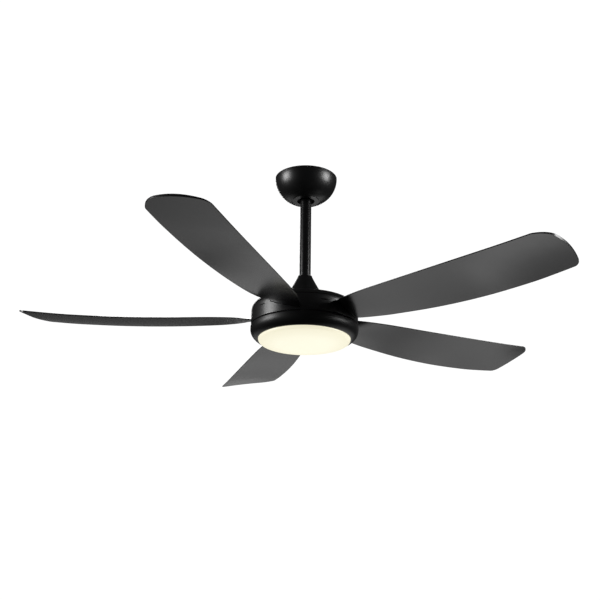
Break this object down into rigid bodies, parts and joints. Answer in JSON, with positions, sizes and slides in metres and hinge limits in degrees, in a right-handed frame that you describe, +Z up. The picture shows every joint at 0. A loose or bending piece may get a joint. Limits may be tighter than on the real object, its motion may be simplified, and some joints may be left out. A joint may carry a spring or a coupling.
{
  "type": "ceiling fan with light",
  "caption": "Black ceiling fan on a short downrod, with broad curved blades that pass into a round motor housing and a shallow round light under it.",
  "frame": {"origin": "on the ceiling, at the centre of the hanger bracket's top face, midway between its two slots", "axes": "+Z up along the rod, X along the bracket, the picture's view is from -Y and below"},
  "size_m": [1.2338, 1.2747, 0.428],
  "materials": {
    "black_metal": "satin black paint over spun steel",
    "ring_metal": "satin black paint over an aluminium ring",
    "blade_plastic": "matte black, fine moulded grain",
    "opal_plastic": "opal white, satin face, lit warm white",
    "zinc_steel": "bright zinc plate",
    "screw_steel": "zinc-plated screw",
    "black_screw": "black-coated screw",
    "nylon": "natural nylon",
    "black_nylon": "black glass-filled nylon",
    "rod_paint": "satin black paint on steel tube",
    "bare_steel": "machined steel",
    "cast_alloy": "die-cast, as cast",
    "lamination": "stacked silicon steel, varnished",
    "copper": "enamelled copper wire",
    "magnet": "sintered ferrite",
    "circuit_board": "green solder mask",
    "led_board": "white solder mask on aluminium",
    "led": "yellow phosphor",
    "driver_case": "white moulded case",
    "lead_sleeve": "black sleeve over leads",
    "bobbin": "white nylon"
  },
  "bodies": {
    "ceiling": {"ceiling_bracket": "zinc_steel", "ball_liner": "nylon", "receiver": "driver_case", "canopy": "black_metal", "canopy_trim": "black_metal", "canopy_screws": "black_screw"},
    "hanger": {"hanger_ball": "black_nylon", "ball_pin": "zinc_steel", "ball_set_screw": "screw_steel", "downrod": "rod_paint", "lead_bundle": "lead_sleeve", "lead_plug": "nylon", "coupler": "bare_steel", "coupler_pin": "zinc_steel", "pin_clip": "zinc_steel", "coupler_set_screws": "screw_steel", "motor_shaft": "bare_steel", "retaining_ring": "zinc_steel", "shaft_nut": "zinc_steel", "stator_hub": "cast_alloy", "stator_core": "lamination", "coil_bobbins": "bobbin", "coils": "copper", "motor_board": "circuit_board", "bearing_inner_races": "bare_steel", "support_pan": "zinc_steel", "lower_ring": "ring_metal", "ring_screws": "screw_steel", "led_board": "led_board", "leds": "led", "board_spacers": "nylon", "board_screws": "screw_steel", "led_driver": "driver_case", "motor_controller": "driver_case", "terminal_block": "nylon", "jumper_leads": "lead_sleeve"},
    "rotor": {"bearing_outer_races": "bare_steel", "bearing_balls": "bare_steel", "rotor_bell": "zinc_steel", "magnets": "magnet", "housing_shell": "black_metal", "shell_screws": "screw_steel", "top_cap": "black_metal", "cap_screws": "black_screw", "blade_carrier": "cast_alloy", "blade_screws": "screw_steel", "blade_1": "blade_plastic", "blade_2": "blade_plastic", "blade_3": "blade_plastic", "blade_4": "blade_plastic", "blade_5": "blade_plastic"},
    "cover": {"coupling_cover": "black_metal"},
    "lamp": {"lamp_cover": "opal_plastic"}
  },
  "joints": [
    {"name": "hanger_swing", "type": "hinge", "parent": "ceiling", "child": "hanger", "pos_m": [0, 0, -0.029], "axis": [0, 1, 0], "range_deg": [-12, 12]},
    {"name": "fan_spin", "type": "hinge", "parent": "hanger", "child": "rotor", "pos_m": [0, 0, -0.373], "axis": [0, 0, 1], "continuous": true},
    {"name": "cover_slide", "type": "slide", "parent": "hanger", "child": "cover", "axis": [0, 0, 1], "range_m": [0, 0.185]},
    {"name": "lamp_twist", "type": "hinge", "parent": "hanger", "child": "lamp", "pos_m": [0, 0, -0.41], "axis": [0, 0, 1], "range_deg": [0, 18]}
  ]
}
